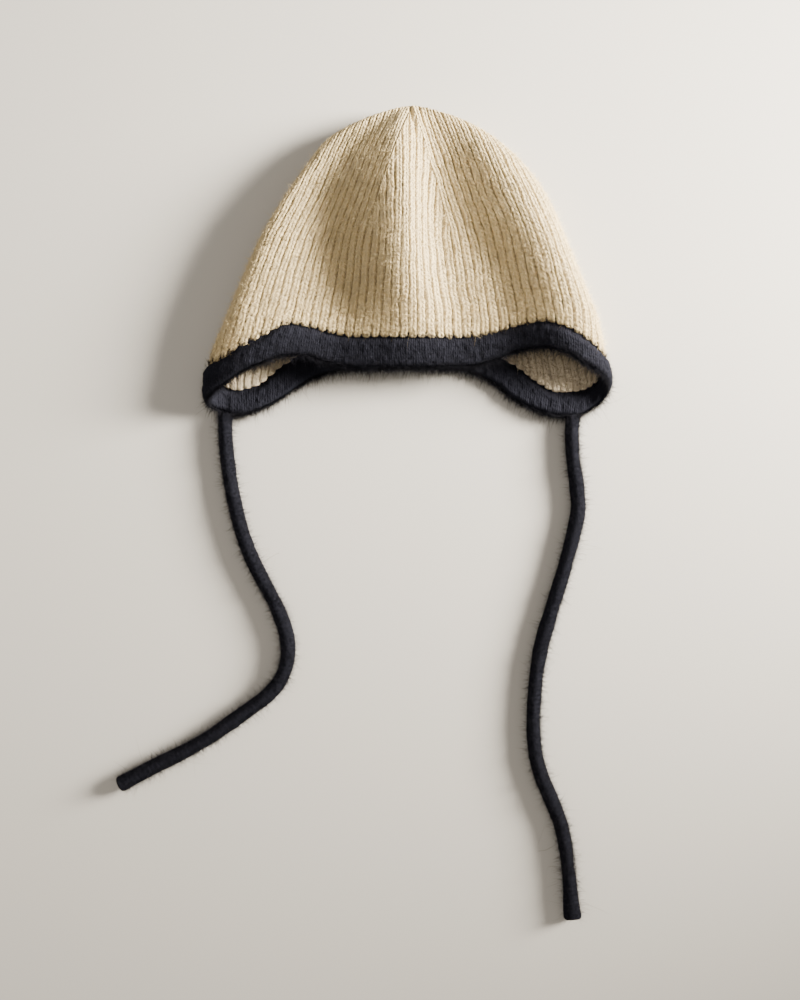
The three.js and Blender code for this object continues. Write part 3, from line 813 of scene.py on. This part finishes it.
def edge_fuzz(face_count, join_count, rim_count, seed):
    rng = np.random.default_rng(seed)
    roots, normals = on_the_knit(face_count, 0.5, rng, lambda rib: edge_of(rib) - 0.3, join_of, EDGE_PROUD)
    lengths = 0.9 + rng.exponential(0.7, len(roots)).clip(0, 2.4)
    ways = standing_off(normals, 0.8, rng)
    short = fibres(roots, ways, lengths, thickness=0.13, joints=1, bend=0.3, seed=seed + 1)

    rib = rng.uniform(0, RIBS, join_count)
    points, outward, _ = knit(rib, rib_end(rib) + rng.uniform(-0.4, 1.2, join_count))
    upward = 0.4 * outward + (0, 1, 0)
    lengths = 0.6 + rng.exponential(0.7, join_count).clip(0, 2.6)
    ways = standing_off(upward, 0.45, rng)
    join = fibres(points - 0.5 * outward, ways, lengths, thickness=0.14, joints=1, bend=0.3, seed=seed + 4)

    rib = rng.uniform(0, RIBS, rim_count)
    points, outward, _ = knit(rib, edge_of(rib))
    downward = 0.5 * outward + (0, -1, 0)
    middle = points - outward * (WALL / 2)
    lengths = 1.5 + rng.exponential(1.3, rim_count).clip(0, 5)
    ways = standing_off(downward, 0.6, rng)
    rim = fibres(middle, ways, lengths, thickness=0.17, joints=1, bend=0.4, seed=seed + 2)
    few = slice(0, EDGE_STRAYS)
    ways = standing_off(downward[few], 0.8, rng)
    lengths = rng.uniform(4, 9, EDGE_STRAYS)
    stray = fibres(middle[few], ways, lengths, thickness=0.11, joints=5, bend=0.5, seed=seed + 3)
    return fuzz_object("brim_fuzz", [short, join, rim, stray])


cream_fuzz = crown_fuzz(50000, 31)
pale_fuzz = inside_fuzz(6500, 51)
black_fuzz = edge_fuzz(8000, 9000, 22000, 41)

# %% [markdown]
# ## Wool
#
# Both wools are the same stuff in two colours, so what they share is built once, as two node groups. One
# draws the knit stitches in the knitter's counts of the UV map, and the other makes the fine fibres and the
# slow unevenness of a spun yarn. Each material mixes its own colours by their masks: painted shade darkens
# the grooves, the stitch legs take more of the lit colour as a painted highlight, and the fibres and the
# slow unevenness mix the shaded and the lit colour at random. The inner face has a paler cream than the
# outside, although it is the same yarn: daylight comes through thin knitting, and a surface that lets none
# through can only stand in for that by its colour.

# %% Small helpers for node trees
def new_group(name, inputs, outputs):
    tree = bpy.data.node_groups.new(name, "ShaderNodeTree")
    for label, value in inputs.items():
        tree.interface.new_socket(label, in_out="INPUT", socket_type="NodeSocketFloat").default_value = value
    for label in outputs:
        tree.interface.new_socket(label, in_out="OUTPUT", socket_type="NodeSocketFloat")
    return tree, tree.nodes.new("NodeGroupInput"), tree.nodes.new("NodeGroupOutput")


def reckon(tree, operation, *values):
    """A math node; each value is a number or another node's output."""
    node = tree.nodes.new("ShaderNodeMath")
    node.operation = operation
    for socket, value in zip(node.inputs, values):
        if isinstance(value, (int, float)):
            socket.default_value = value
        else:
            tree.links.new(value, socket)
    return node.outputs[0]


def set_inputs(node, values):
    for label, value in values.items():
        node.inputs[label].default_value = value


def noise(tree, place, scale, detail):
    node = tree.nodes.new("ShaderNodeTexNoise")
    set_inputs(node, {"Scale": scale, "Detail": detail})
    tree.links.new(place, node.inputs["Vector"])
    return node.outputs["Fac"]


# %% Stitches, drawn in ribs and rows
def stitch_group():
    tree, given, result = new_group("knit_stitches", {"Groove From": 0.34}, ["Height", "Groove"])
    uv = tree.nodes.new("ShaderNodeUVMap")
    uv.uv_map = "knit"
    split = tree.nodes.new("ShaderNodeSeparateXYZ")
    tree.links.new(uv.outputs["UV"], split.inputs[0])
    centred = reckon(tree, "ADD", split.outputs["X"], 0.5)
    off = reckon(tree, "ABSOLUTE", reckon(tree, "SUBTRACT", reckon(tree, "FRACT", centred), 0.5))
    leg = reckon(tree, "SINE", reckon(tree, "MULTIPLY", off, 2 * math.pi))
    climb = reckon(tree, "MULTIPLY_ADD", off, LEG_SLANT, split.outputs["Y"])
    slip = reckon(tree, "ABSOLUTE", reckon(tree, "SINE", reckon(tree, "MULTIPLY", climb, math.pi)))
    slip = reckon(tree, "POWER", slip, 0.7)
    height = reckon(tree, "MULTIPLY", reckon(tree, "MULTIPLY_ADD", leg, 0.65, 0.35),
                    reckon(tree, "MULTIPLY_ADD", slip, 0.6, 0.4))
    groove = tree.nodes.new("ShaderNodeMapRange")
    groove.interpolation_type = "SMOOTHSTEP"
    groove.inputs["From Max"].default_value = 0.5
    tree.links.new(off, groove.inputs["Value"])
    tree.links.new(given.outputs["Groove From"], groove.inputs["From Min"])
    tree.links.new(height, result.inputs["Height"])
    tree.links.new(groove.outputs["Result"], result.inputs["Groove"])
    return tree


stitches = stitch_group()
print("group:", stitches.name)

# %% Fibres and slow unevenness
def fibre_group():
    tree, given, result = new_group("wool_fibres", {"Fibre Scale": 1.0}, ["Height", "Fleck", "Cloud"])
    place = tree.nodes.new("ShaderNodeTexCoord").outputs["Object"]
    scaled = tree.nodes.new("ShaderNodeVectorMath")
    scaled.operation = "SCALE"
    tree.links.new(place, scaled.inputs[0])
    tree.links.new(given.outputs["Fibre Scale"], scaled.inputs["Scale"])
    fine = noise(tree, scaled.outputs[0], 760, 3)
    coarse = noise(tree, scaled.outputs[0], 330, 2)
    height = reckon(tree, "MULTIPLY_ADD", coarse, 0.5, reckon(tree, "MULTIPLY", fine, 0.5))
    fleck = tree.nodes.new("ShaderNodeMapRange")
    set_inputs(fleck, {"From Min": 0.36, "From Max": 0.64})
    tree.links.new(height, fleck.inputs["Value"])
    tree.links.new(height, result.inputs["Height"])
    tree.links.new(fleck.outputs["Result"], result.inputs["Fleck"])
    tree.links.new(noise(tree, place, 45, 2), result.inputs["Cloud"])
    return tree


fibre_look = fibre_group()
print("group:", fibre_look.name)

# %% The two wools
def new_material(name):
    made = bpy.data.materials.new(name)
    made.use_nodes = True
    return made, made.node_tree, made.node_tree.nodes["Principled BSDF"]


def place_group(tree, group, values):
    node = tree.nodes.new("ShaderNodeGroup")
    node.node_tree = group
    set_inputs(node, values)
    return node


def mix_colour(tree, factor, low, high):
    node = tree.nodes.new("ShaderNodeMix")
    node.data_type = "RGBA"
    tree.links.new(factor, node.inputs["Factor"])
    for socket, value in ((node.inputs["A"], low), (node.inputs["B"], high)):
        if isinstance(value, tuple):
            socket.default_value = (*value, 1)
        else:
            tree.links.new(value, socket)
    return node.outputs["Result"]


def bump(tree, height, distance, strength, after=None):
    node = tree.nodes.new("ShaderNodeBump")
    set_inputs(node, {"Distance": distance, "Strength": strength})
    tree.links.new(height, node.inputs["Height"])
    if after is not None:
        tree.links.new(after, node.inputs["Normal"])
    return node.outputs["Normal"]


def wool(name, colours, groove_from, down_tint, shine, depths):
    """Colours: painted shade in the groove, yarn in painted shade, yarn in painted light; depths in mm are of
    the stitches and the fibres.
    """
    made, tree, shader = new_material(name)
    drawn = place_group(tree, stitches, {"Groove From": groove_from})
    spun = place_group(tree, fibre_look, {"Fibre Scale": 1.0})
    deep, shaded, lit = colours
    # painted light and shade: the higher stitch legs take more of the lit colour and the dips between them
    # more of the shaded one, while fleck and cloud mix the two at random
    share = reckon(tree, "MULTIPLY_ADD", drawn.outputs["Height"], 0.45,
                   reckon(tree, "MULTIPLY", spun.outputs["Fleck"], 0.65))
    share = reckon(tree, "MULTIPLY_ADD", spun.outputs["Cloud"], 0.3, reckon(tree, "SUBTRACT", share, 0.2))
    yarn = mix_colour(tree, share, shaded, lit)
    # painted shade: the grooves get the deep colour, which stands in for the shade that falls into them
    colour = mix_colour(tree, reckon(tree, "MULTIPLY", drawn.outputs["Groove"], 0.7), yarn, deep)
    tree.links.new(colour, shader.inputs["Base Color"])
    rough = reckon(tree, "MULTIPLY_ADD", spun.outputs["Fleck"], 0.12, 0.84)
    tree.links.new(rough, shader.inputs["Roughness"])
    set_inputs(shader, {"Sheen Weight": shine, "Sheen Roughness": 0.5, "Sheen Tint": (*down_tint, 1),
                        "Specular IOR Level": shine})
    knitted = bump(tree, drawn.outputs["Height"], depths[0] * MM, 1.0)
    hairy = bump(tree, spun.outputs["Height"], depths[1] * MM, 1.0, knitted)
    tree.links.new(hairy, shader.inputs["Normal"])
    return made


# each list holds painted shade for the grooves, yarn in painted shade and yarn in painted light
CREAM = [(0.285, 0.245, 0.19), (0.405, 0.346, 0.252), (0.61, 0.505, 0.298)]
# painted light: the inner face's cream is paler than the outer one, standing in for daylight that comes
# through the thin knitting
CREAM_INSIDE = [(0.66, 0.58, 0.46), (0.84, 0.745, 0.595), (0.96, 0.86, 0.71)]
BLACK = [(0.0082, 0.0091, 0.0147), (0.0093, 0.0103, 0.0165), (0.0105, 0.0115, 0.0186)]
cream_wool = wool("cream_wool", CREAM, 0.37, (0.95, 0.8, 0.55), 0.1, (0.5, 1.4))
cream_inside = wool("cream_inside", CREAM_INSIDE, 0.37, (0.95, 0.85, 0.7), 0.1, (0.6, 1.6))
black_wool = wool("black_wool", BLACK, 0.42, (0.5, 0.55, 0.7), 0.01, (0.12, 0.9))

# %% Down: the fibres that stand off
def down(name, colour, shine):
    """The loose fibres: one colour that changes a little from fibre to fibre."""
    made, tree, shader = new_material(name)
    spun = place_group(tree, fibre_look, {"Fibre Scale": 0.4})
    dark = tuple(0.75 * part for part in colour)
    tree.links.new(mix_colour(tree, spun.outputs["Fleck"], dark, colour), shader.inputs["Base Color"])
    set_inputs(shader, {"Roughness": 0.8, "Specular IOR Level": shine})
    return made


# painted highlight: the loose cream fibres are paler than the lit yarn, standing in for fibres that catch the
# light
cream_down = down("cream_down", (0.7, 0.59, 0.385), 0.3)
# painted light: the fibres on the inner face are paler still, like the inner cream
inside_down = down("inside_down", (0.9, 0.8, 0.65), 0.3)
black_down = down("black_down", (0.0105, 0.0114, 0.018), 0.05)
for finish, pieces in ((cream_wool, (crown_front, crown_back)), (cream_inside, (crown_inside,)),
                       (cream_down, (cream_fuzz,)), (inside_down, (pale_fuzz,)),
                       (black_wool, (brim_edge, tie_left, tie_right)),
                       (black_down, (black_fuzz, tie_left_fuzz, tie_right_fuzz))):
    for piece in pieces:
        piece.data.materials.append(finish)
    print(finish.name, "on", ", ".join(piece.name for piece in pieces))

# %% [markdown]
# ## Light and floor
#
# The floor is plain and pale. One window-like light stands low on the right, which is what makes the ribs
# and the folds read. A large weak light on the left stands for the wall across the room, and a faint warm
# sky fills what neither reaches.

# %% Set the floor
SPAN = 3.0
floor_corners = SPAN * np.array([(-1, -1, 0), (1, -1, 0), (1, 1, 0), (-1, 1, 0)])
floor = mesh_object("floor", floor_corners, np.array([[0, 1, 2, 3]]))
floor_paint, _, floor_shader = new_material("floor_paint")
set_inputs(floor_shader, {"Base Color": (0.498, 0.512, 0.543, 1), "Roughness": 0.75})
floor.data.materials.append(floor_paint)


# %% Hang the lights
def area_light(name, place, aim, size, spread, power, colour):
    light = bpy.data.lights.new(name, "AREA")
    light.shape = "RECTANGLE"
    light.size, light.size_y = size
    light.spread = math.radians(spread)
    light.energy = power
    light.color = colour
    holder = bpy.data.objects.new(name, light)
    holder.location = place
    holder.rotation_euler = (Vector(aim) - Vector(place)).to_track_quat("-Z", "Y").to_euler()
    bpy.context.scene.collection.objects.link(holder)
    print("light:", name, power, "W")


area_light("window", (0.91, 0.155, 0.33), (0.12, 0.1, 0), (0.34, 0.34), 72, 22.3, (1.0, 0.878, 0.68))
area_light("wall", (-0.65, 0, 0.75), (0, 0, 0), (1.2, 1.2), 120, 1.6, (1.0, 0.9, 0.76))
sky = bpy.data.worlds.new("sky")
sky.use_nodes = True
set_inputs(sky.node_tree.nodes["Background"], {"Color": (1.0, 0.86, 0.66, 1), "Strength": 0.48})
bpy.context.scene.world = sky
